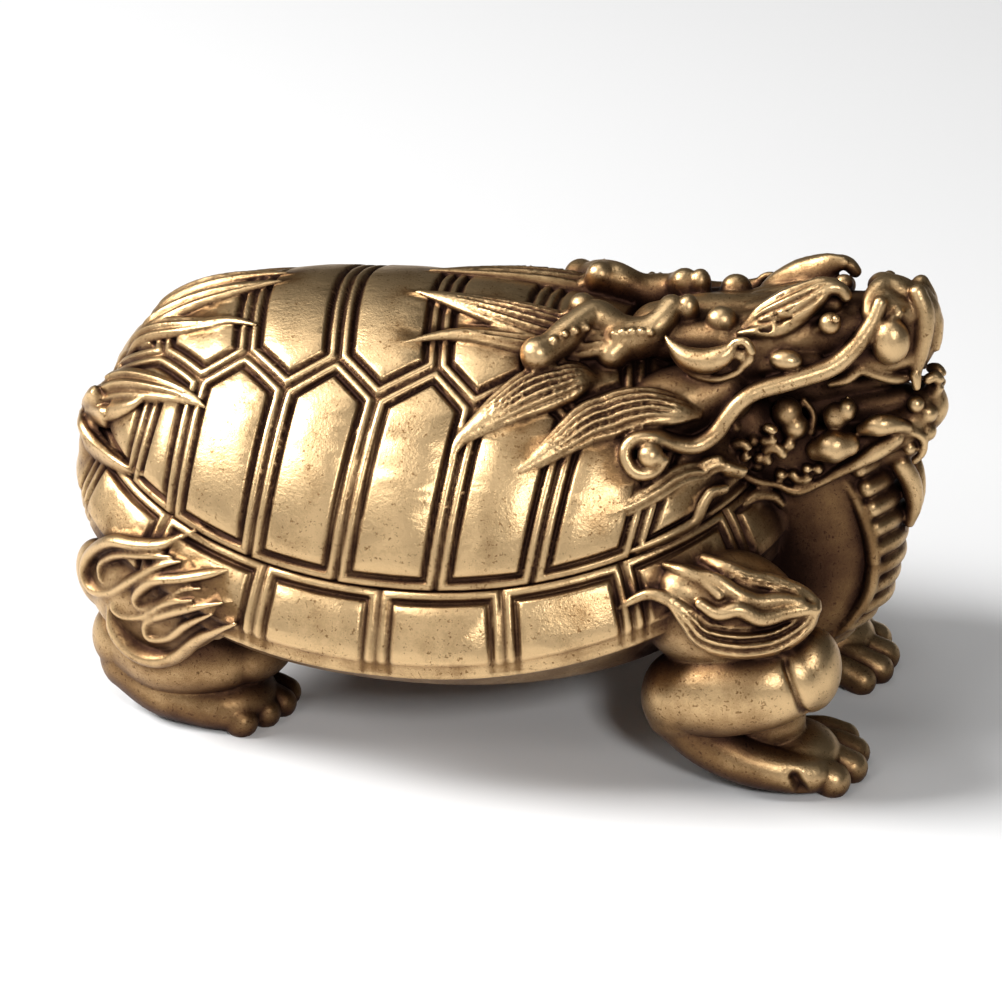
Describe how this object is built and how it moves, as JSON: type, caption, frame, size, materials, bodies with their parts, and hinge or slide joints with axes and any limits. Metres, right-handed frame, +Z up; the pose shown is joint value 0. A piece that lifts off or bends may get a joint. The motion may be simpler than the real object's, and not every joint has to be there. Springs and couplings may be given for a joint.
{
  "type": "dragon turtle figure",
  "caption": "Small cast brass dragon turtle: a plated domed shell on four crouching clawed legs, with a horned, whiskered dragon's head and flowing locks; stands on its feet.",
  "frame": {"origin": "on the table, under the middle of the figure's bounding box", "axes": "+X forward, from tail to snout, +Y to the figure's left, +Z up"},
  "size_m": [0.0513, 0.0312, 0.0288],
  "materials": {
    "brass": "cast, with dark patina in the hollows and polished high spots"
  },
  "bodies": {
    "root": {"dragon_turtle": "brass"}
  },
  "joints": []
}
